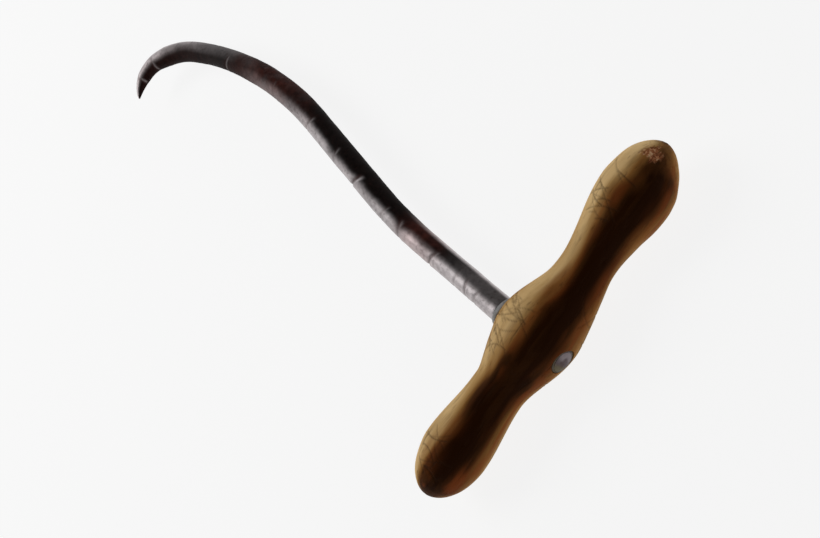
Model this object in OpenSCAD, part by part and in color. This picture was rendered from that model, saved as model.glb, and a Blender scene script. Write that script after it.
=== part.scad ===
// T-handled hand hook for bales and sacks.
// Origin: where the axis of the tang crosses the axis of the handle.
// The handle lies along Y, the shank leaves it toward -X, and the whole hook lies in the XY plane.

/* [Handle] */
// Length of the handle from the tang's axis to its +Y end
front_length = 75; // [70:1:90]
// Length of the handle from the tang's axis to its -Y end
back_length = 65; // [60:1:90]
// Diameter of the middle bulge
middle_d = 28.6; // [26:0.2:34]
// Offset of the middle bulge's widest place toward +Y
middle_y = 1.5; // [0:0.5:3]
// Diameter of the bulge near the +Y end
front_bulge_d = 25; // [20:0.2:30]
// Distance of the +Y bulge from the tang's axis
front_bulge_y = 55; // [48:1:60]
// Diameter of the bulge near the -Y end
back_bulge_d = 23.2; // [20:0.2:30]
// Distance of the -Y bulge from the tang's axis
back_bulge_y = 45; // [42:1:50]
// Diameter of the waist between the middle and the +Y bulge
front_waist_d = 17.6; // [15:0.2:20]
// Distance of the +Y waist from the tang's axis
front_waist_y = 30; // [25:1:34]
// Diameter of the waist between the middle and the -Y bulge
back_waist_d = 18.4; // [15:0.2:20]
// Distance of the -Y waist from the tang's axis
back_waist_y = 21; // [19:1:26]
// Clearance of the bore and of the seats round the steel
fit_gap = 0.25; // [0.1:0.05:0.4]

/* [Hook] */
// Diameter of the round bar
bar_d = 9.6; // [8:0.2:11]
// Straight part of the shank in front of the shoulder
shank_length = 45; // [30:1:60]
// Radius of the slight bend that carries the shank toward +Y
offset_bend_r = 225; // [150:5:300]
// Angle of the slight bend
offset_bend_turn = 7.8; // [4:0.2:10]
// Straight part after the slight bend
reach_length = 48; // [30:1:70]
// Radius of the long bend back toward -Y
long_bend_r = 187; // [120:1:220]
// Angle of the long bend
long_bend_turn = 28.9; // [20:0.1:36]
// Radius of the bend at the start of the hook
hook_bend_r = 49; // [35:1:60]
// Angle of the bend at the start of the hook
hook_bend_turn = 23; // [15:1:35]

/* [Point] */
// Length along which the bar is drawn out to the point
point_length = 28; // [24:1:32]
// Part of that length that keeps the hook's bend radius
point_lead = 6; // [3:0.5:8]
// Radius of the tight bend that turns the point in
point_bend_r = 14; // [12:0.5:18]
// Diameter left at the very tip
tip_d = 0.8; // [0.6:0.1:1.5]
// Fullness of the point: 1 is a straight cone, less is a fuller one
point_fullness = 0.62; // [0.5:0.02:1]

/* [Tang and rivet] */
// Diameter of the tang through the handle
tang_d = 6.4; // [5.6:0.2:7]
// Outer diameter of the washer under the shoulder
front_washer_d = 11.2; // [10.8:0.2:14]
// Thickness of the washer under the shoulder
front_washer_t = 1.6; // [1.2:0.1:2]
// How far that washer stands out of the bulge
front_washer_proud = 0.9; // [0.6:0.1:1.2]
// Outer diameter of the rivet washer at the back
rear_washer_d = 9; // [8.8:0.1:11]
// Thickness of the rivet washer
rear_washer_t = 1.2; // [1:0.1:1.6]
// Depth of the rivet washer's seat below the bulge
rear_seat_depth = 2; // [1.8:0.1:2.6]
// Height of the peened head above the rivet washer
head_height = 0.8; // [0.6:0.1:1]
// Diameter of the peened head where it meets the washer
head_d = 7.6; // [7.2:0.1:8.6]

/* [Hidden] */
$fn = 96;

// Handle outline, as [distance along the handle, radius] at its bulges and waists
stations = [
    [-back_bulge_y, back_bulge_d / 2],
    [-back_waist_y, back_waist_d / 2],
    [middle_y, middle_d / 2],
    [front_waist_y, front_waist_d / 2],
    [front_bulge_y, front_bulge_d / 2]
];
// Steps of the outline between two stations, and angle between points on an end
blend_steps = 9;
cap_step = 9;

// Distances from the handle's axis along the tang
bulge_r = middle_d / 2;
shoulder_x = bulge_r + front_washer_proud;
front_seat_x = shoulder_x - front_washer_t;
rear_seat_x = bulge_r - rear_seat_depth;
rear_face_x = rear_seat_x + rear_washer_t;
bore_d = tang_d + fit_gap;
// How far the tang's cylinder starts inside the shank
tang_root = 1;
// The head's top is this share of its foot
head_taper = 0.72;
// Length of a cutter that ends outside the handle
clear_length = 10;

// Low ring that joins two stretches of the bar: its height above the bar, half its length,
// and the gap between the stretches inside it
land_rise = 0.1;
land_half = 1.5;
land_gap = 0.02;

// The point is swept through this many rings, each with this many corners
point_rings = 18;
ring_sides = 32;
degrees = 180 / PI;
point_lead_turn = point_lead / hook_bend_r * degrees;

// A smooth step from a to b as t goes from 0 to 1
function blend(a, b, t) = a + (b - a) * (1 - cos(180 * t)) / 2;
function between(a, b, t) = a + (b - a) * t;

// Half outline of the handle as [radius, distance along the handle]
function handle_outline() = concat(
    [for (a = [0 : cap_step : 90 - cap_step])
        [stations[0][1] * sin(a), stations[0][0] - (back_length - back_bulge_y) * cos(a)]],
    [for (i = [0 : len(stations) - 2], k = [0 : blend_steps - 1])
        [blend(stations[i][1], stations[i + 1][1], k / blend_steps),
         between(stations[i][0], stations[i + 1][0], k / blend_steps)]],
    [for (a = [90 : -cap_step : 0])
        [stations[4][1] * sin(a), stations[4][0] + (front_length - front_bulge_y) * cos(a)]]
);

// Centre line of the point: it starts at the origin toward -X and turns toward -Y
function arc_end(r, a) = [-r * sin(a), -r * (1 - cos(a))];
function turned(v, a) = [v[0] * cos(a) - v[1] * sin(a), v[0] * sin(a) + v[1] * cos(a)];
function point_turn(s) = s <= point_lead
    ? s / hook_bend_r * degrees
    : point_lead_turn + (s - point_lead) / point_bend_r * degrees;
function point_centre(s) = s <= point_lead
    ? arc_end(hook_bend_r, point_turn(s))
    : arc_end(hook_bend_r, point_lead_turn)
        + turned(arc_end(point_bend_r, point_turn(s) - point_lead_turn), point_lead_turn);
function point_r(s) = between(tip_d, bar_d, pow(1 - s / point_length, point_fullness)) / 2;
// Corner at angle a of the ring at distance s along the point
function ring_corner(s, a) =
    let (side = turned([0, point_r(s) * cos(a)], point_turn(s)), c = point_centre(s))
    [c[0] + side[0], c[1] + side[1], point_r(s) * sin(a)];

// Where one stretch of bar ends and the next begins
module land() {
    inner_r = bar_d / 2 - land_rise;
    outer_r = bar_d / 2 + land_rise;
    rotate([0, 90, 0])
        rotate_extrude()
            polygon([
                [0, -land_half], [inner_r, -land_half], [outer_r, 0],
                [inner_r, land_half], [0, land_half]
            ]);
    children();
}

// Straight stretch of bar toward -X; what follows is drawn at its end
module run(length, gap) {
    translate([-gap, 0, 0]) rotate([0, -90, 0]) cylinder(h = length - gap - land_gap, d = bar_d);
    translate([-length, 0, 0]) land() children();
}

// Bend of the bar toward +Y (side = 1) or -Y (side = -1); what follows is drawn at its end
module bend(r, turn, side) {
    gap_turn = land_gap / r * degrees;
    translate([0, side * r, 0]) {
        rotate([0, 0, (side > 0 ? -90 - turn : 90) + gap_turn])
            rotate_extrude(angle = turn - 2 * gap_turn)
                translate([r, 0]) circle(d = bar_d);
        rotate([0, 0, -side * turn]) translate([0, -side * r, 0]) land() children();
    }
}

// Drawn-out point
module point() {
    last = point_rings * ring_sides;
    corners = [for (i = [0 : point_rings], k = [0 : ring_sides - 1])
        ring_corner(between(land_gap, point_length, i / point_rings), 360 * k / ring_sides)];
    walls = [for (i = [0 : point_rings - 1], k = [0 : ring_sides - 1])
        let (a = i * ring_sides + k, b = i * ring_sides + (k + 1) % ring_sides)
        [a, b, b + ring_sides, a + ring_sides]];
    root = [for (k = [ring_sides - 1 : -1 : 0]) k];
    tip = [for (k = [0 : ring_sides - 1]) last + k];
    polyhedron(corners, concat([root], walls, [tip]));
}

// Tang with its peened head, from the shoulder to the back of the handle
module tang() {
    translate([-shoulder_x - tang_root, 0, 0]) rotate([0, 90, 0])
        cylinder(h = tang_root + shoulder_x + rear_face_x + head_height / 2, d = tang_d);
    translate([rear_face_x, 0, 0]) rotate([0, 90, 0])
        cylinder(h = head_height, d1 = head_d, d2 = head_d * head_taper);
}

// One forging: point, hook, shank, tang and peened head
module hook() {
    color("#3d3a3b") {
        tang();
        translate([-shoulder_x, 0, 0])
            run(shank_length, 0)
            bend(offset_bend_r, offset_bend_turn, 1)
            run(reach_length, land_gap)
            bend(long_bend_r, long_bend_turn, -1)
            bend(hook_bend_r, hook_bend_turn, -1)
            point();
    }
}

// Flat washer with its inner face at x, its outer face toward side * X
module washer(x, side, d, t) {
    translate([x, 0, 0]) rotate([0, side * 90, 0])
        difference() {
            cylinder(h = t, d = d);
            translate([0, 0, -1]) cylinder(h = t + 2, d = bore_d);
        }
}

module front_washer() {
    color("#9a9c9d") washer(-front_seat_x, -1, front_washer_d, front_washer_t);
}

module rear_washer() {
    color("#8a8583") washer(rear_seat_x, 1, rear_washer_d, rear_washer_t);
}

// Turned wooden handle with its bore and the two washer seats
module handle() {
    color("#7a4a24")
        difference() {
            rotate([-90, 0, 0]) rotate_extrude() polygon(handle_outline());
            rotate([0, 90, 0]) cylinder(h = 2 * middle_d, d = bore_d, center = true);
            translate([-front_seat_x, 0, 0]) rotate([0, -90, 0])
                cylinder(h = clear_length, d = front_washer_d + 2 * fit_gap);
            translate([rear_seat_x, 0, 0]) rotate([0, 90, 0])
                cylinder(h = clear_length, d = rear_washer_d + 2 * fit_gap);
        }
}

hook();
front_washer();
handle();
rear_washer();
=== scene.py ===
import math

import bmesh
import bpy
import numpy as np
from mathutils import Matrix, Vector


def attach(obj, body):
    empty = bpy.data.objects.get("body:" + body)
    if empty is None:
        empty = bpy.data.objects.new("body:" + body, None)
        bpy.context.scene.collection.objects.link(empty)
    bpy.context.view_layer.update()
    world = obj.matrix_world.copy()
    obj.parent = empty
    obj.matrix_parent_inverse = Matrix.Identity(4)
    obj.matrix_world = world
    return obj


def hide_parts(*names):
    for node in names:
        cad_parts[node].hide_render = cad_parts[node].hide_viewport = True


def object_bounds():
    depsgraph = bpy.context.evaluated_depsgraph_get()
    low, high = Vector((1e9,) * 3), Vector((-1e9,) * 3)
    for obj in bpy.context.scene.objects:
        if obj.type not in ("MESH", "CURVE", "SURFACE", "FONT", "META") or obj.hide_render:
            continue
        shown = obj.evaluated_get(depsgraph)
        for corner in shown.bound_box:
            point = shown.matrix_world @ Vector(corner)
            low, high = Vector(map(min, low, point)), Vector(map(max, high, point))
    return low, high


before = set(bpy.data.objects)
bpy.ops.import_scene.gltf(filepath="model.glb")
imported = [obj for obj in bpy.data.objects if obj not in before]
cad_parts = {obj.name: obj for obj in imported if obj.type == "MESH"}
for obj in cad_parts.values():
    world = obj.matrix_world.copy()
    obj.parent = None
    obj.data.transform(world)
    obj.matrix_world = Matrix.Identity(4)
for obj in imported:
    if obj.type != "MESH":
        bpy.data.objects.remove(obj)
cad_low, cad_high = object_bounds()

MM = 0.001

# Pieces, in millimetres in the row's frame.
HANDLE_ROWS, HANDLE_SIDES = 400, 220
HOOK_STEP, HOOK_SIDES = 0.42, 64
WASHER_SIDES = 128
SHOULDER_X = -15.2
TANG_R = 3.2
BORE_R = 3.325
FRONT_SEAT_X, FRONT_SEAT_R = -13.6, 5.73
REAR_SEAT_X, REAR_SEAT_R = 12.3, 4.63
FRONT_WASHER_R, REAR_WASHER_R, REAR_WASHER_TOP_X = 5.6, 4.5, 13.5
BEYOND_WOOD = 30

# The handle's bulges and waists: (place along the axis, radius, lean of the next stretch). With a
# lean of 1 the radius changes evenly on both sides of the stretch's middle, with less it does so earlier.
BACK_BULGE, BACK_WAIST, MIDDLE_BULGE = (-46.5, 11.6, 1.0), (-21.5, 9.4, 0.9), (2.5, 14.3, 0.9)
FRONT_WAIST, FRONT_BULGE = (30.5, 9.0, 0.95), (56.5, 12.5, 1.0)
HANDLE_FEATURES = [BACK_BULGE, BACK_WAIST, MIDDLE_BULGE, FRONT_WAIST, FRONT_BULGE]
BACK_TIP_Y, FRONT_TIP_Y = -65.0, 75.0
BACK_ROUNDNESS, FRONT_ROUNDNESS = 1.9, 1.8

# The rod's path from the handle's axis: (length, bend radius or 0, turn toward +Y is +1).
ROD_PATH = [(60.2, 0, 0), (225 * math.radians(7.8), 225, 1), (48, 0, 0),
            (187 * math.radians(28.9), 187, -1), (49 * math.radians(30), 49, -1), (22, 14, -1)]
# The rod's diameter by distance from the handle's axis: thinner beside the wood and in the hook,
# thickest along the long bend.
ROD_DIAMETERS = [(15, 9.6), (42, 9.3), (84, 9.95), (165, 10.4), (190, 10.1), (212, 9.2)]
# The end is drawn out in two steps: a slow taper, and a fuller tip with its own length.
TAPER_LENGTH, TAPER_ROOT_D = 28.8, 9.25
TIP_LENGTH, TIP_ROOT_D, TIP_END_D, TIP_FULLNESS = 11.0, 6.1, 0.4, 0.75

# Knocks in the wood: how many, and their smallest and largest size and depth.
DENT_COUNT, DENT_SIZES, DENT_DEPTHS = 46, (0.9, 3.6), (0.08, 0.30)
# Cuts in the wood: (place along the axis, angle round it, how many, spread along the axis).
SCRATCH_GROUPS = [(7, 1.05, 11, 12), (-3, 1.15, 10, 11), (53, 0.85, 12, 18), (-50, 0.75, 10, 14),
                  (5, -2.2, 14, 45)]
SCRATCH_WIDTH = 0.27
# The torn patch: its place along the axis and angle round it.
SCAR_Y, SCAR_ARC = 70.0, 0.42
# Red-brown patches on the wood: (place along the axis, angle round it, reach along, reach round).
RED_PATCHES = [(50, -1.05, 9, 0.30), (25, -0.75, 9, 0.35), (-1, -0.75, 7, 0.3), (-52, -0.55, 8, 0.30),
               (-49, 0.70, 9, 0.42), (14, -0.9, 8, 0.3), (19, 0.58, 8, 0.34), (-38, 0.62, 6, 0.28)]
# Cuts across the rod: (distance from the handle's axis, lean, width, depth).
NICKS = [(26, 1.2, 0.5, 0.5), (31, -0.8, 0.6, 0.7), (37, 0.5, 0.5, 0.4), (51, 1.5, 0.7, 0.9),
         (70, -1.0, 0.8, 0.7), (81, 1.2, 0.5, 0.4), (102, 2.2, 0.9, 1.0), (117, -0.8, 0.6, 0.4),
         (140, 1.0, 0.7, 0.6), (168, -1.4, 0.6, 0.5), (205, 0.8, 0.6, 0.4), (260, 0.4, 0.8, 0.5),
         (272, 0.3, 0.6, 0.7)]
NICK_SIDE = 2.3

# Camera, in metres in the row's frame.
CAMERA_LENS_MM, SENSOR_MM = 48.29, 36.0
CAMERA_PLACE = (0.18143, 0.06298, 0.30675)
CAMERA_RIGHT, CAMERA_BACK = (0.5924, 0.5436, -0.5945), (0.6057, 0.1860, 0.7736)
OBJECT_MIDDLE = (-0.07, 0, 0)

# Directions, in the row's frame: the top of the handle, dark with grime and painted shade, the flank that
# its ends and +Y waist lean to, and the side of the rod painted bright as rubbed steel and as a painted
# highlight.
GRIME_AND_SHADE_SIDE = Vector((0.62, 0, 0.79))
FAR_SIDE = Vector((0.79, 0, -0.62))
WEAR_AND_HIGHLIGHT_SIDE = Vector((-0.70, -0.60, 0.35))


# ---------- number helpers ----------

def smooth_table(points, at, spread):
    """Reads a table at the given places, with its corners rounded over the given distance."""
    xs, ys = np.array(points, float).T
    offsets = np.linspace(-1, 1, 9) * spread
    weights = 1 - 0.9 * np.abs(np.linspace(-1, 1, 9))
    total = sum(w * np.interp(at + o, xs, ys) for o, w in zip(offsets, weights))
    return total / weights.sum()


def ramp(value, low, high):
    """Goes smoothly from 0 at low to 1 at high."""
    t = np.clip((value - low) / (high - low), 0, 1)
    return t * t * (3 - 2 * t)


def wrapped(angle):
    """The same angle, from minus to plus half a turn."""
    return np.angle(np.exp(1j * angle))


def value_noise(points, cell, seed):
    """Smooth noise from -1 to 1 with features about one cell wide. A cell may differ by axis."""
    table = np.random.default_rng(seed).uniform(-1, 1, (32, 32, 32))
    place = points / np.asarray(cell, float) + 100.0
    base = np.floor(place).astype(int)
    f = place - base
    f = f * f * (3 - 2 * f)
    out = np.zeros(len(points))
    for dx in (0, 1):
        for dy in (0, 1):
            for dz in (0, 1):
                near = table[(base[:, 0] + dx) % 32, (base[:, 1] + dy) % 32, (base[:, 2] + dz) % 32]
                wx = f[:, 0] if dx else 1 - f[:, 0]
                wy = f[:, 1] if dy else 1 - f[:, 1]
                wz = f[:, 2] if dz else 1 - f[:, 2]
                out += near * wx * wy * wz
    return out


# ---------- mesh helpers ----------

def turn_outward(mesh):
    """Makes every face of a closed mesh look away from its inside."""
    work = bmesh.new()
    work.from_mesh(mesh)
    bmesh.ops.recalc_face_normals(work, faces=work.faces)
    if work.calc_volume(signed=True) < 0:
        bmesh.ops.reverse_faces(work, faces=work.faces)
    work.to_mesh(mesh)
    work.free()


def new_piece(name, verts_mm, faces):
    """Makes a smooth closed mesh that belongs to the object's one body."""
    mesh = bpy.data.meshes.new(name)
    mesh.from_pydata((np.asarray(verts_mm) * MM).tolist(), [], faces)
    mesh.validate()
    turn_outward(mesh)
    mesh.update()
    piece = bpy.data.objects.new(name, mesh)
    bpy.context.scene.collection.objects.link(piece)
    mesh.polygons.foreach_set("use_smooth", [True] * len(mesh.polygons))
    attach(piece, "root")
    return piece


def read_mm(piece):
    flat = np.empty(len(piece.data.vertices) * 3)
    piece.data.vertices.foreach_get("co", flat)
    return flat.reshape(-1, 3) / MM


def write_mm(piece, verts):
    piece.data.vertices.foreach_set("co", (verts * MM).ravel())
    piece.data.update()


def paint(piece, name, values):
    """Stores one number per vertex for the materials."""
    layer = piece.data.attributes.new(name, "FLOAT", "POINT")
    layer.data.foreach_set("value", np.clip(values, 0, 1).astype(np.float32))


def tube_faces(rings, sides):
    """Quads between rings of points, with one point closing each end."""
    faces = [[0, 1 + (j + 1) % sides, 1 + j] for j in range(sides)]
    for i in range(rings - 1):
        a, b = 1 + i * sides, 1 + (i + 1) * sides
        faces += [[a + j, a + (j + 1) % sides, b + (j + 1) % sides, b + j] for j in range(sides)]
    last, end = 1 + (rings - 1) * sides, 1 + rings * sides
    faces += [[end, last + j, last + (j + 1) % sides] for j in range(sides)]
    return faces


def cut(piece, axis_from, axis_to, radius, sides=96):
    """Takes a round hole along X out of a piece."""
    angles = np.linspace(0, 2 * math.pi, sides, endpoint=False)
    ring = np.stack([0 * angles, radius * np.cos(angles), radius * np.sin(angles)], 1)
    low, high = ring + [axis_from, 0, 0], ring + [axis_to, 0, 0]
    verts = np.vstack([[[axis_from, 0, 0]], low, high, [[axis_to, 0, 0]]])
    mesh = bpy.data.meshes.new("cutter")
    mesh.from_pydata((verts * MM).tolist(), [], tube_faces(2, sides))
    turn_outward(mesh)
    cutter = bpy.data.objects.new("cutter", mesh)
    bpy.context.scene.collection.objects.link(cutter)
    step = piece.modifiers.new("cut", "BOOLEAN")
    step.operation, step.solver, step.object = "DIFFERENCE", "EXACT", cutter
    graph = bpy.context.evaluated_depsgraph_get()
    result = bpy.data.meshes.new_from_object(piece.evaluated_get(graph))
    piece.modifiers.clear()
    old = piece.data
    piece.data = result
    bpy.data.meshes.remove(old)
    bpy.data.objects.remove(cutter)


# ---------- handle ----------

def handle_radius(y):
    """The turned outline: a wave between each bulge and waist, and a rounded end at each tip."""
    radius = np.full_like(y, float(BACK_BULGE[1]))
    for (start, near, lean), (stop, far, _) in zip(HANDLE_FEATURES, HANDLE_FEATURES[1:]):
        t = np.clip((y - start) / (stop - start), 0, 1) ** lean
        radius = np.where(y > start, near + (far - near) * (1 - np.cos(math.pi * t)) / 2, radius)
    for (start, full, _), tip, power in ((BACK_BULGE, BACK_TIP_Y, BACK_ROUNDNESS),
                                         (FRONT_BULGE, FRONT_TIP_Y, FRONT_ROUNDNESS)):
        t = np.clip((y - start) / (tip - start), 0, 1)
        end = full * np.clip(1 - t ** power, 0, 1) ** (1 / power)
        radius = np.where((y - start) * (tip - start) > 0, end, radius)
    return radius


def handle_bow(y):
    """How far the handle's middle line runs toward FAR_SIDE: the stick isn't quite straight."""
    return 1.15 * np.exp(-((y - 21.5) / 10.5) ** 2) - 0.85 * ramp(y, 60, 72)


def handle_dents(y, arc, rng):
    """Knocks and dents spread over the whole surface."""
    depth = np.zeros_like(y)
    for _ in range(DENT_COUNT):
        cy, ca = rng.uniform(-60, 70), rng.uniform(-math.pi, math.pi)
        size, deep = rng.uniform(*DENT_SIZES), rng.uniform(*DENT_DEPTHS)
        gap = wrapped(arc - ca) * 11
        depth += deep * np.exp(-((y - cy) ** 2 + (gap * rng.uniform(0.7, 1.5)) ** 2) / size ** 2)
    return depth


def handle_scratches(y, arc, rng):
    """Curved cuts: clusters on the three bulges, and a wide group of loose ones on the other side."""
    total = np.zeros_like(y)
    for centre_y, centre_arc, count, spread in SCRATCH_GROUPS:
        for _ in range(count):
            cy = centre_y + rng.uniform(-0.5, 0.5) * spread
            ca = centre_arc + rng.uniform(-0.35, 0.35) * (4 if spread > 20 else 1)
            slope, bow = rng.uniform(-0.7, 0.7), rng.uniform(-0.09, 0.09)
            half = rng.uniform(2.2, 7.0)
            along = wrapped(arc - ca) * 12
            off = y - cy - slope * along - bow * along ** 2
            stroke = np.exp(-(off / SCRATCH_WIDTH) ** 2) * ramp(half - np.abs(along), 0, 1.2)
            total = np.maximum(total, stroke * rng.uniform(0.5, 1.0))
    return total


def handle_scar(y, arc):
    """The torn patch beside the +Y end: how far inside it each point is."""
    across = wrapped(arc - SCAR_ARC) * 7.5
    edge = 0.22 * np.sin(3.1 * arc * 4 + y) + 0.18 * np.sin(5 * across)
    return ramp(1.15 + edge - np.hypot((y - SCAR_Y) / 2.5, across / 3.2), 0, 0.45)


def bare_wood_vs_grime_and_shade(p, arc, streaks, clouds):
    """Where the wood is bare and pale, from 0 (grime and painted shade on the top) to 1: both flanks, the
    underside, the tips.
    """
    y = p[:, 1]
    across = arc + 0.11 * streaks + 0.17 * clouds
    narrower = (0.10 * ramp(-y, 5, 50) + 0.12 * ramp(18 - np.abs(y + 14), 0, 12) + 0.10 * ramp(y, 30, 42)
                - 0.34 * ramp(y, 52, 64))
    hook_side = ramp(across - narrower, 0.20, 1.12) * ramp(math.pi - across, 0.2, 1.6)
    wider = 0.20 * np.exp(-((y - 46) / 8) ** 2) - 0.06 * ramp(y, 56, 64)
    far_side = ramp(wider - across, 0.28, 1.22) * ramp(math.pi + across, 0.1, 1.1)
    ends = 0.42 * ramp(y, 63, 72) + 0.10 * ramp(-y, 59, 65)
    under = (0.50 + 0.14 * clouds) * ramp(np.abs(arc), 2.0, 3.0)
    hook_side *= 0.93 + 0.10 * clouds - 0.20 * ramp(across, 1.15, 1.5) * ramp(15 - np.abs(y), 0, 4)
    hook_side *= 1 - 0.20 * np.exp(-((y + 21) / 8) ** 2) - 0.16 * np.exp(-((y - 29) / 8) ** 2)
    return np.maximum(hook_side, (0.56 + 0.10 * streaks) * far_side + under) + ends * (0.6 + 0.4 * clouds)


def red_wood(p, arc, streaks, clouds):
    """Red-brown along both edges of the dark band of grime and painted shade, and in patches."""
    y = p[:, 1]
    edge_of_dark = np.exp(-((arc + 0.86) / 0.34) ** 2) + 0.75 * np.exp(-((arc - 0.52) / 0.20) ** 2)
    flecks = value_noise(p, (1.7, 9, 1.7), 23)
    red = 0.8 * edge_of_dark * ramp(flecks + 0.35 * clouds, -0.35, 0.85)
    for cy, ca, reach_y, reach_arc in RED_PATCHES:
        reach = 1.25 - np.hypot((y - cy) / reach_y, wrapped(arc - ca) / reach_arc)
        patch = ramp(reach + 0.35 * clouds + 0.2 * streaks, -0.1, 1.2)
        red = np.maximum(red, patch * (0.40 + 0.60 * ramp(flecks, -0.6, 0.6)))
    return red


def paint_handle(piece, p, arc, scratch, scar):
    """The wood's colour by place: the dark top is grime and painted shade. Round the front seat it is one
    tone, at the tips it is end grain.
    """
    streaks = value_noise(p, (2.2, 16, 2.2), 21)
    clouds = value_noise(p, (9, 14, 9), 22)
    rim = ramp(7.7 - np.hypot(p[:, 1], p[:, 2]), 0, 0.5) * ramp(-p[:, 0], 9, 11)
    # Low values are grime and painted shade on the top, high values bare pale wood.
    bare_vs_grime_and_shade = bare_wood_vs_grime_and_shade(p, arc, streaks, clouds) * (1 - rim) + 0.72 * rim
    whole = ramp(np.hypot(p[:, 0], p[:, 2]), 0.5, 7.0)
    end_grain = 0.36 + 0.20 * clouds + 0.10 * streaks - 0.16 * ramp(-p[:, 1], 0, 10)
    paint(piece, "bare_vs_grime_and_shade", bare_vs_grime_and_shade * whole + end_grain * (1 - whole))
    paint(piece, "red", red_wood(p, arc, streaks, clouds) * whole * (1 - rim))
    paint(piece, "scratch", scratch * (1 - rim))
    paint(piece, "scar", scar)


def turned_blank():
    """The handle before wear: rings of points along Y, closer together at both tips."""
    bend = np.linspace(0, math.pi, HANDLE_ROWS + 2)[1:-1]
    even = np.linspace(BACK_TIP_Y, FRONT_TIP_Y, HANDLE_ROWS + 2)[1:-1]
    round_ends = 5 - 70 * np.cos(bend)
    y = 0.55 * even + 0.45 * round_ends
    radius = handle_radius(y)
    angles = np.linspace(0, 2 * math.pi, HANDLE_SIDES, endpoint=False)
    ring = np.stack([np.outer(radius, np.cos(angles)), np.repeat(y[:, None], HANDLE_SIDES, 1),
                     np.outer(radius, np.sin(angles))], 2).reshape(-1, 3)
    verts = np.vstack([[[0, BACK_TIP_Y, 0]], ring, [[0, FRONT_TIP_Y, 0]]])
    return new_piece("handle_wood", verts, tube_faces(HANDLE_ROWS, HANDLE_SIDES))


def make_handle():
    """The turned handle with its bore and both seats, then its wear on the outer surface only."""
    piece = turned_blank()
    cut(piece, -BEYOND_WOOD, BEYOND_WOOD, BORE_R)
    cut(piece, -BEYOND_WOOD, FRONT_SEAT_X, FRONT_SEAT_R)
    cut(piece, REAR_SEAT_X, BEYOND_WOOD, REAR_SEAT_R)

    p = read_mm(piece)
    rng = np.random.default_rng(7)
    y, r = p[:, 1], np.hypot(p[:, 0], p[:, 2])
    # The dark band round this direction is grime and painted shade.
    facing = math.atan2(GRIME_AND_SHADE_SIDE.z, GRIME_AND_SHADE_SIDE.x)
    arc = wrapped(np.arctan2(p[:, 2], p[:, 0]) - facing)
    outer = ramp(r - handle_radius(y), -0.12, -0.03)
    reach = np.minimum(np.hypot(y, p[:, 2]) - np.where(p[:, 0] < 0, FRONT_SEAT_R, REAR_SEAT_R), 3) / 3
    outer *= np.clip(reach, 0, 1)
    scratch, scar = handle_scratches(y, arc, rng), handle_scar(y, arc)
    move = 0.16 * value_noise(p, (16, 22, 16), 11) + 0.05 * value_noise(p, (1.3, 13, 1.3), 12)
    move -= handle_dents(y, arc, rng) + 0.26 * scratch
    move -= scar * (0.45 + 0.35 * value_noise(p, (0.9, 0.9, 0.9), 13))
    move = np.minimum(move, 0.18) * outer
    scale = 1 + move / np.maximum(r, 0.8)
    shaped = p.copy()
    shaped[:, 0] *= scale
    shaped[:, 2] *= scale
    shaped += np.outer(handle_bow(y) * outer, np.array(FAR_SIDE))
    write_mm(piece, shaped)
    paint_handle(piece, p, arc, scratch, scar)
    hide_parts("handle")
    return piece


# ---------- hook ----------

def rod_centre(s):
    """Place and heading of the rod's centreline at each distance from the handle's axis."""
    fine = np.arange(0, sum(length for length, _, _ in ROD_PATH) + 0.01, 0.05)
    turn = np.zeros_like(fine)
    start = 0.0
    for length, bend, sign in ROD_PATH:
        if bend:
            turn += sign * np.clip(fine - start, 0, length) / bend
        start += length
    dx, dy = -np.cos(turn), np.sin(turn)
    x = np.concatenate([[0], np.cumsum((dx[1:] + dx[:-1]) / 2) * 0.05])
    y = np.concatenate([[0], np.cumsum((dy[1:] + dy[:-1]) / 2) * 0.05])
    return [np.interp(s, fine, v) for v in (x, y, turn)]


def rod_radius(s, total):
    """The bar with its slow swell, and the point that it is drawn out to."""
    body = smooth_table(ROD_DIAMETERS, s, 6.0)
    left = total - s
    taper = np.interp(left, [TIP_LENGTH, TAPER_LENGTH], [TIP_ROOT_D, TAPER_ROOT_D])
    tip = TIP_END_D + (TIP_ROOT_D - TIP_END_D) * np.clip(left / TIP_LENGTH, 0, 1) ** TIP_FULLNESS
    return np.where(left < TIP_LENGTH, tip, np.where(left < TAPER_LENGTH, taper, body)) / 2


def nicks(s, around, beside):
    """How deep the cuts across the rod are, or how high the lips beside them."""
    total = np.zeros_like(s)
    gap = wrapped(around - NICK_SIDE)
    for at, lean, width, deep in NICKS:
        off = s - at - lean * gap - beside * width * 1.4
        total = np.maximum(total, deep * np.exp(-(off / width) ** 2) * ramp(1.25 - np.abs(gap), 0, 0.5))
    return total


def head_profile():
    """The peened head, the tang through the wood, and the shoulder: (x, radius)."""
    return [(14.28, 0.7), (14.24, 1.4), (14.17, 2.0), (14.08, 2.5), (13.97, 2.95), (13.84, 3.35),
            (13.68, 3.68), (13.52, 3.8), (13.5, 3.3), (13.0, TANG_R), (6, TANG_R), (-6, TANG_R),
            (-14.6, TANG_R), (-15.15, TANG_R + 0.05), (SHOULDER_X, 3.6), (-15.22, 4.3), (-15.5, 4.65),
            (-15.9, 4.78)]


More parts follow.
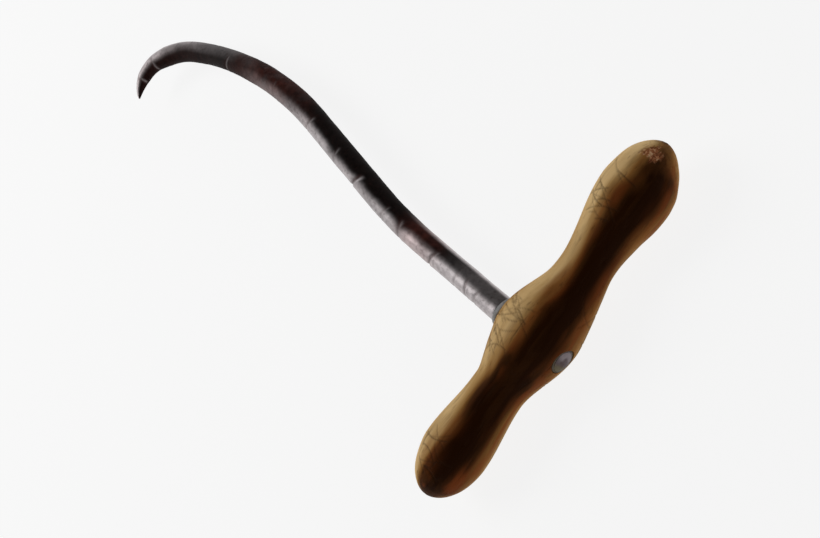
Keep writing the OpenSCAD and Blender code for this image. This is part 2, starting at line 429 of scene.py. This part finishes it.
def make_hook():
    """Rings of points from the rivet's head through the wood and along the rod to its point."""
    total = sum(length for length, _, _ in ROD_PATH)
    s_bar = np.arange(16.4, total - 0.25, HOOK_STEP)
    s_bar = np.concatenate([s_bar[s_bar < total - 3], np.arange(total - 3, total - 0.1, 0.2)])
    head = np.array(head_profile())
    s = np.concatenate([-head[:, 0], s_bar])
    radius = np.concatenate([head[:, 1], rod_radius(s_bar, total)])
    x, y, turn = rod_centre(np.maximum(s, 0))
    x = np.where(s < 0, -s, x)
    angles = np.linspace(0, 2 * math.pi, HOOK_SIDES, endpoint=False)
    side = np.stack([np.sin(turn), np.cos(turn), 0 * turn], 1)
    centre = np.stack([x, y, 0 * x], 1)
    out = (side[:, None, :] * np.cos(angles)[None, :, None]
           + np.array([0, 0, 1.0])[None, None, :] * np.sin(angles)[None, :, None])
    base = (centre[:, None, :] + out * radius[:, None, None]).reshape(-1, 3)
    out = out.reshape(-1, 3)
    s_all, around = np.repeat(s, HOOK_SIDES), np.tile(angles, len(s))
    thick = np.repeat(radius, HOOK_SIDES)
    free = ramp(s_all, 16.4, 18.5) * np.clip(thick / 4.5, 0.08, 1)
    pits = np.clip(value_noise(base, (0.9, 0.9, 0.9), 33) - 0.35, 0, 1)
    cuts, lips = nicks(s_all, around, 0.0), nicks(s_all, around, -1.0)
    move = 0.13 * value_noise(base, (9, 7, 5), 31) + 0.05 * value_noise(base, (2.6, 2.2, 2.2), 32)
    move += 0.13 * lips - 0.10 * pits - 0.36 * cuts
    on_head = ramp(-s_all, 13.6, 13.9)
    peened = 0.10 * value_noise(base, (2, 1.3, 1.3), 34) * on_head
    verts = base + out * (move * free)[:, None]
    verts[:, 0] += np.minimum(peened, 0)
    x_end, y_end, _ = rod_centre(np.array([total - 0.02]))
    verts = np.vstack([[[14.3, 0, 0]], verts, [[x_end[0], y_end[0], 0]]])
    piece = new_piece("hook_steel", verts, tube_faces(len(s), HOOK_SIDES))
    # The two closing points take the values of the rings beside them.
    per_point = [np.concatenate([v[:1], v, v[-1:]]) for v in (s_all, out, around, pits, cuts, lips)]
    paint_hook(piece, verts, *per_point)
    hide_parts("hook")
    return piece


def wear_and_highlight_steel(s, out, around, place, clouds, grain):
    """Where the rod is painted bright, partly as rubbed steel and partly as a painted highlight where light
    falls: its lower side, the outside of the hook, the +Y rim near the root, and the root.
    """
    begin = 0.02 + 0.20 * ramp(s, 40, 90)
    # Bright band toward the lit side: partly rubbed steel, partly a painted highlight.
    wear_and_highlight = ramp(out @ np.array(WEAR_AND_HIGHLIGHT_SIDE) - begin + 0.09 * clouds + 0.03 * grain, 0.0, 0.80)
    wear_and_highlight *= 1 - 0.45 * ramp(s, 138, 165) - 0.50 * ramp(s, 165, 198)
    tip_part = ramp(s, 232, 262)
    outer_side = ramp(np.cos(around) + (0.25 + 0.35 * tip_part) * np.sin(around) + 0.12 * clouds
                      + 0.16 * tip_part, -0.25, 1.25)
    wear_and_highlight = np.maximum(wear_and_highlight, outer_side * (0.22 * ramp(place, 178, 212) + 0.58 * ramp(place, 210, 256)))
    # A painted highlight along the +Y rim of the rod near the root.
    far_rim_highlight = ramp(np.cos(around) - 0.2 * np.sin(around), 0.68, 1.02)
    wear_and_highlight = np.maximum(wear_and_highlight, far_rim_highlight * ramp(76 - s, 0, 30))
    return np.maximum(wear_and_highlight, (0.17 + 0.05 * clouds) * ramp(52 - s, 0, 28))


def paint_hook(piece, p, s, out, around, pits, cuts, lips):
    """Rubbed steel and painted highlights, red oxide and dark cuts along the rod, and a painted glint and
    an olive-grey side on the rivet's head.
    """
    clouds, grain = value_noise(p, (7, 5, 5), 41), value_noise(p, (1.4, 1.2, 1.2), 42)
    blots = value_noise(p, (5, 3.4, 3.4), 43)
    place = s + 9 * clouds
    wear_and_highlight = wear_and_highlight_steel(s, out, around, place, clouds, grain)
    bend_part = ramp(place, 134, 172) * ramp(214 - place, 0, 38)
    red = np.maximum(ramp(17 - np.abs(s - 60), 0, 14), bend_part)
    red = np.maximum(red, 0.22 * ramp(s, 205, 240))
    wear_and_highlight += 0.035 * bend_part * ramp(blots + 0.4 * grain, -0.2, 0.9)
    wear_and_highlight = np.maximum(wear_and_highlight, lips * (0.55 - 0.35 * red))
    on_head = ramp(-s, 13.3, 13.5)
    wear_and_highlight = wear_and_highlight * (1 - on_head) + 0.15 * on_head
    paint(piece, "wear_and_highlight", wear_and_highlight * (1 - 0.45 * pits))
    paint(piece, "rust", red * (0.78 + 0.25 * clouds - 0.28 * blots))
    paint(piece, "cut", np.maximum(cuts, pits * 0.5))
    paint(piece, "head", on_head)
    away = np.hypot(p[:, 1], p[:, 2])
    toward_y = p[:, 1] / np.maximum(away, 0.1)
    # A painted highlight: a bright crescent toward the +Y side of the rivet's head.
    paint(piece, "glint", on_head * ramp(away + 0.3 * grain, 1.3, 2.2) * ramp(toward_y, -0.15, 0.6))
    # Olive-grey toward the -Y side of the rivet's head.
    paint(piece, "head_olive_side", on_head * ramp(-p[:, 1] + 0.4 * grain, 0.6, 2.6))


# ---------- washers ----------

def make_washer(name, node, x_low, x_high, radius, dish, edge, stain):
    """A punched washer: rounded edges, a slight dish, and an uneven outer edge."""
    hole, mid = BORE_R, (x_low + x_high) / 2
    profile = [(hole, x_low + edge), (hole + edge, x_low + dish), ((hole + radius) / 2, x_low + dish / 2),
               (radius - edge, x_low), (radius - edge * 0.3, x_low + edge * 0.35), (radius, x_low + edge),
               (radius, mid), (radius, x_high - edge), (radius - edge * 0.3, x_high - edge * 0.35),
               (radius - edge, x_high), ((hole + radius) / 2, x_high), (hole + edge, x_high),
               (hole, x_high - edge), (hole, mid)]
    sides, rows = WASHER_SIDES, len(profile)
    angles = np.linspace(0, 2 * math.pi, sides, endpoint=False)
    verts = np.array([[x, r * math.cos(a), r * math.sin(a)] for r, x in profile for a in angles])
    rough = 0.05 * value_noise(verts, (1.6, 1.6, 1.6), 51)
    outer = ramp(np.hypot(verts[:, 1], verts[:, 2]), hole + 0.6, radius)
    verts[:, 1:] *= (1 + (np.minimum(rough, 0) * outer / radius))[:, None]
    faces = [[i * sides + j, ((i + 1) % rows) * sides + j, ((i + 1) % rows) * sides + (j + 1) % sides,
              i * sides + (j + 1) % sides] for i in range(rows) for j in range(sides)]
    piece = new_piece(name, verts, faces)
    paint(piece, "stain", stain + 0.25 * value_noise(verts, (2, 2, 2), 52) + 0.2 * outer)
    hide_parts(node)
    return piece


# ---------- materials ----------

class Nodes:
    """Short calls for building one node tree."""

    def __init__(self, tree):
        self.tree = tree
        tree.nodes.clear()

    def add(self, kind, inputs=None, **settings):
        node = self.tree.nodes.new(kind)
        for key, value in settings.items():
            setattr(node, key, value)
        for key, value in (inputs or {}).items():
            if isinstance(value, bpy.types.NodeSocket):
                self.tree.links.new(value, node.inputs[key])
            else:
                node.inputs[key].default_value = value
        return node

    def read(self, name):
        return self.add("ShaderNodeAttribute", attribute_name=name).outputs["Fac"]

    def place(self, stretch):
        where = self.add("ShaderNodeTexCoord").outputs["Object"]
        return self.add("ShaderNodeMapping", {"Vector": where, "Scale": stretch}).outputs["Vector"]

    def noise(self, scale, detail=4.0, stretch=(1, 1, 1), rough=0.55):
        return self.add("ShaderNodeTexNoise", {"Vector": self.place(stretch), "Scale": scale,
                                               "Detail": detail, "Roughness": rough}).outputs["Fac"]

    def math(self, how, a, b=0.0, clamp=False):
        return self.add("ShaderNodeMath", {0: a, 1: b}, operation=how, use_clamp=clamp).outputs[0]

    def span(self, value, low, high, to_low=0.0, to_high=1.0):
        return self.add("ShaderNodeMapRange", {"Value": value, "From Min": low, "From Max": high,
                                               "To Min": to_low, "To Max": to_high}).outputs[0]

    def mix(self, amount, a, b, how="MIX"):
        node = self.add("ShaderNodeMix", data_type="RGBA", blend_type=how)
        for socket, value in ((node.inputs[0], amount), (node.inputs[6], a), (node.inputs[7], b)):
            if isinstance(value, bpy.types.NodeSocket):
                self.tree.links.new(value, socket)
            else:
                socket.default_value = value
        return node.outputs[2]

    def ramp(self, value, stops):
        node = self.add("ShaderNodeValToRGB", {"Fac": value})
        while len(node.color_ramp.elements) < len(stops):
            node.color_ramp.elements.new(0.5)
        for element, (at, colour) in zip(node.color_ramp.elements, stops):
            element.position, element.color = at, (*colour, 1)
        return node.outputs["Color"]

    def finish(self, colour, roughness, height, depth, **fixed):
        bump = self.add("ShaderNodeBump", {"Height": height, "Strength": 0.7, "Distance": depth})
        shader = self.add("ShaderNodeBsdfPrincipled", {"Base Color": colour, "Roughness": roughness,
                                                       "Normal": bump.outputs[0], **fixed})
        self.add("ShaderNodeOutputMaterial", {"Surface": shader.outputs[0]})


def new_material(name):
    material = bpy.data.materials.new(name)
    material.use_nodes = True
    return material, Nodes(material.node_tree)


def wood_material():
    """Old turned wood: pale where it is bare, near black where there is grime and painted shade."""
    material, n = new_material("old_turned_wood")
    grain = n.noise(260, 6, (1, 0.09, 1), 0.6)
    figure = n.noise(75, 3, (1, 0.12, 1))
    pores = n.noise(900, 3, (1, 0.07, 1))
    tone = n.math("ADD", n.read("bare_vs_grime_and_shade"), n.span(figure, 0.3, 0.7, -0.10, 0.10))
    tone = n.math("ADD", tone, n.span(grain, 0.3, 0.7, -0.08, 0.08), clamp=True)
    # From near black (grime and painted shade) to pale bare wood.
    colour = n.ramp(tone, [(0.0, (0.0150, 0.0042, 0.0006)), (0.20, (0.062, 0.0215, 0.0052)),
                           (0.45, (0.225, 0.101, 0.026)), (0.70, (0.410, 0.240, 0.086)),
                           (1.0, (0.670, 0.462, 0.218))])
    colour = n.mix(n.span(grain, 0.52, 0.72, 0.0, 0.55), colour, (0.105, 0.052, 0.016, 1), "MULTIPLY")
    reddish = n.math("MULTIPLY", n.read("red"), n.span(figure, 0.28, 0.52), clamp=True)
    colour = n.mix(n.math("MULTIPLY", reddish, 0.86), colour, (0.160, 0.038, 0.008, 1))
    colour = n.mix(n.span(pores, 0.60, 0.74, 0.0, 0.45), colour, (0.022, 0.009, 0.004, 1))
    colour = n.mix(n.math("MULTIPLY", n.read("scratch"), 0.62), colour, (0.024, 0.011, 0.005, 1))
    torn = n.ramp(n.noise(900, 4, (1, 1, 1), 0.7), [(0.38, (0.10, 0.025, 0.008)),
                                                    (0.52, (0.34, 0.13, 0.055)),
                                                    (0.66, (0.62, 0.42, 0.25))])
    colour = n.mix(n.math("MULTIPLY", n.read("scar"), 0.85), colour, torn)
    rough = n.math("ADD", n.span(n.read("bare_vs_grime_and_shade"), 0, 1, 0.42, 0.60), n.span(pores, 0.4, 0.7, 0, 0.14))
    height = n.math("SUBTRACT", n.math("MULTIPLY", grain, 0.8), n.span(pores, 0.55, 0.75, 0, 0.7))
    n.finish(colour, rough, height, 0.00018, **{"Specular IOR Level": 0.015})
    return material


def steel_material():
    """Forged rod: near-black oxide, red and brown rust in places, bright where it is rubbed and where a
    highlight is painted; a painted glint on the rivet's head.
    """
    material, n = new_material("forged_rod_steel")
    scale = n.noise(420, 5, (1, 1, 1), 0.65)
    speck = n.noise(1500, 3)
    oxide = n.ramp(scale, [(0.3, (0.0032, 0.0019, 0.0016)), (0.7, (0.0095, 0.0058, 0.0052))])
    rust = n.ramp(scale, [(0.3, (0.026, 0.0062, 0.0046)), (0.7, (0.078, 0.021, 0.0155))])
    bright = n.ramp(scale, [(0.3, (0.50, 0.452, 0.458)), (0.7, (0.66, 0.612, 0.618))])
    colour = n.mix(n.math("MULTIPLY", n.read("rust"), 0.75), oxide, rust)
    bright = n.mix(n.math("MULTIPLY", n.read("rust"), 0.6), bright, (0.60, 0.46, 0.45, 1))
    # Bright steel: partly rubbed, partly a painted highlight where light falls.
    rubbed_and_highlit = n.math("MULTIPLY", n.read("wear_and_highlight"), n.span(scale, 0.32, 0.6, 0.82, 1.0), clamp=True)
    colour = n.mix(rubbed_and_highlit, colour, bright)
    colour = n.mix(n.span(speck, 0.64, 0.76, 0, 0.3), colour, (0.030, 0.014, 0.010, 1))
    colour = n.mix(n.math("MULTIPLY", n.read("cut"), 0.75, clamp=True), colour, (0.035, 0.013, 0.011, 1))
    head = n.ramp(n.noise(330, 3), [(0.36, (0.086, 0.060, 0.061)), (0.64, (0.122, 0.100, 0.104))])
    # Painted highlight on the rivet's head.
    head = n.mix(n.read("glint"), head, (0.215, 0.182, 0.188, 1))
    # Olive-grey toward the -Y side of the rivet's head.
    head = n.mix(n.read("head_olive_side"), head, (0.120, 0.098, 0.060, 1))
    colour = n.mix(n.read("head"), colour, head)
    rough = n.math("SUBTRACT", n.span(scale, 0.3, 0.7, 0.46, 0.66), n.math("MULTIPLY", rubbed_and_highlit, 0.10))
    metal = n.span(rubbed_and_highlit, 0, 0.6, 0.02, 0.85)
    height = n.math("ADD", n.math("MULTIPLY", scale, 0.9), n.math("MULTIPLY", speck, 0.3))
    n.finish(colour, rough, height, 0.00007, Metallic=metal, **{"Specular IOR Level": 0.02})
    return material


def washer_material():
    """Dulled plain steel washers, greyed and stained at the wood."""
    material, n = new_material("dulled_washer_steel")
    scale, speck = n.noise(520, 5), n.noise(1700, 3)
    colour = n.ramp(scale, [(0.3, (0.270, 0.275, 0.280)), (0.52, (0.360, 0.366, 0.372)),
                            (0.7, (0.460, 0.468, 0.475))])
    colour = n.mix(n.span(speck, 0.60, 0.76, 0, 0.4), colour, (0.110, 0.080, 0.060, 1))
    colour = n.mix(n.read("stain"), colour, (0.066, 0.046, 0.024, 1))
    n.finish(colour, n.span(scale, 0.3, 0.7, 0.58, 0.76), n.math("ADD", scale, speck), 0.00010,
             Metallic=0.10, **{"Specular IOR Level": 0.10})
    return material


# ---------- stage ----------

def floor_material():
    """A pale floor that glows a little, so that shadows stay soft."""
    material, n = new_material("pale_floor")
    shader = n.add("ShaderNodeBsdfPrincipled", {"Base Color": (0.10, 0.10, 0.10, 1), "Roughness": 0.9,
                                                "Specular IOR Level": 0.0,
                                                "Emission Color": (1, 1, 1, 1), "Emission Strength": 0.86})
    n.add("ShaderNodeOutputMaterial", {"Surface": shader.outputs[0]})
    return material


def make_floor(z):
    """A square floor at the lowest point of the object."""
    size = 40.0
    mesh = bpy.data.meshes.new("floor")
    corners = [(-size, -size, z), (size, -size, z), (size, size, z), (-size, size, z)]
    mesh.from_pydata(corners, [], [(0, 1, 2, 3)])
    floor = bpy.data.objects.new("floor", mesh)
    bpy.context.scene.collection.objects.link(floor)
    mesh.materials.append(floor_material())


def make_world():
    """Pale near the horizon and dark overhead, as in a tent lit from the sides."""
    world = bpy.data.worlds.new("studio")
    bpy.context.scene.world = world
    world.use_nodes = True
    n = Nodes(world.node_tree)
    direction = n.add("ShaderNodeTexCoord").outputs["Generated"]
    up = n.add("ShaderNodeSeparateXYZ", {0: direction}).outputs["Z"]
    sky = n.ramp(n.span(up, -0.2, 1.0), [(0.0, (0.913,) * 3), (0.44, (0.913,) * 3), (0.66, (0.16,) * 3),
                                         (1.0, (0.03,) * 3)])
    back = n.add("ShaderNodeBackground", {"Color": sky, "Strength": 1.0})
    n.add("ShaderNodeOutputWorld", {"Surface": back.outputs[0]})


def make_softbox(name, direction, distance, size, power):
    """A square light that the camera can't see, aimed at the middle of the object."""
    light = bpy.data.lights.new(name, "AREA")
    light.shape, light.size, light.energy = "SQUARE", size, power
    lamp = bpy.data.objects.new(name, light)
    toward = Vector(direction).normalized()
    lamp.location = Vector(OBJECT_MIDDLE) + toward * distance
    lamp.rotation_mode = "QUATERNION"
    lamp.rotation_quaternion = toward.to_track_quat("Z", "Y")
    lamp.visible_camera = False
    bpy.context.scene.collection.objects.link(lamp)


def make_camera():
    """The camera looks along the opposite of its back direction, square to its right one."""
    data = bpy.data.cameras.new("camera")
    data.lens, data.sensor_width, data.sensor_fit = CAMERA_LENS_MM, SENSOR_MM, "HORIZONTAL"
    data.clip_start, data.clip_end = 0.01, 100.0
    camera = bpy.data.objects.new("camera", data)
    right = Vector(CAMERA_RIGHT).normalized()
    back = Vector(CAMERA_BACK)
    back = (back - right * back.dot(right)).normalized()
    up = back.cross(right)
    turn = Matrix((right, up, back)).transposed()
    camera.matrix_world = Matrix.Translation(CAMERA_PLACE) @ turn.to_4x4()
    bpy.context.scene.collection.objects.link(camera)
    bpy.context.scene.camera = camera


handle = make_handle()
hook = make_hook()
front_washer = make_washer("front_washer_steel", "front_washer", SHOULDER_X, FRONT_SEAT_X, FRONT_WASHER_R,
                           dish=0.10, edge=0.26, stain=0.0)
rear_washer = make_washer("rear_washer_steel", "rear_washer", REAR_SEAT_X, REAR_WASHER_TOP_X, REAR_WASHER_R,
                          dish=0.05, edge=0.20, stain=0.80)

handle.data.materials.clear()
handle.data.materials.append(wood_material())
hook.data.materials.append(steel_material())
washers = washer_material()
front_washer.data.materials.append(washers)
rear_washer.data.materials.append(washers)

make_world()
make_floor(cad_low.z)
make_softbox("key", direction=(-0.60, -0.35, 0.72), distance=0.9, size=0.55, power=4.2)
make_camera()
bpy.context.scene.view_settings.view_transform = "Standard"
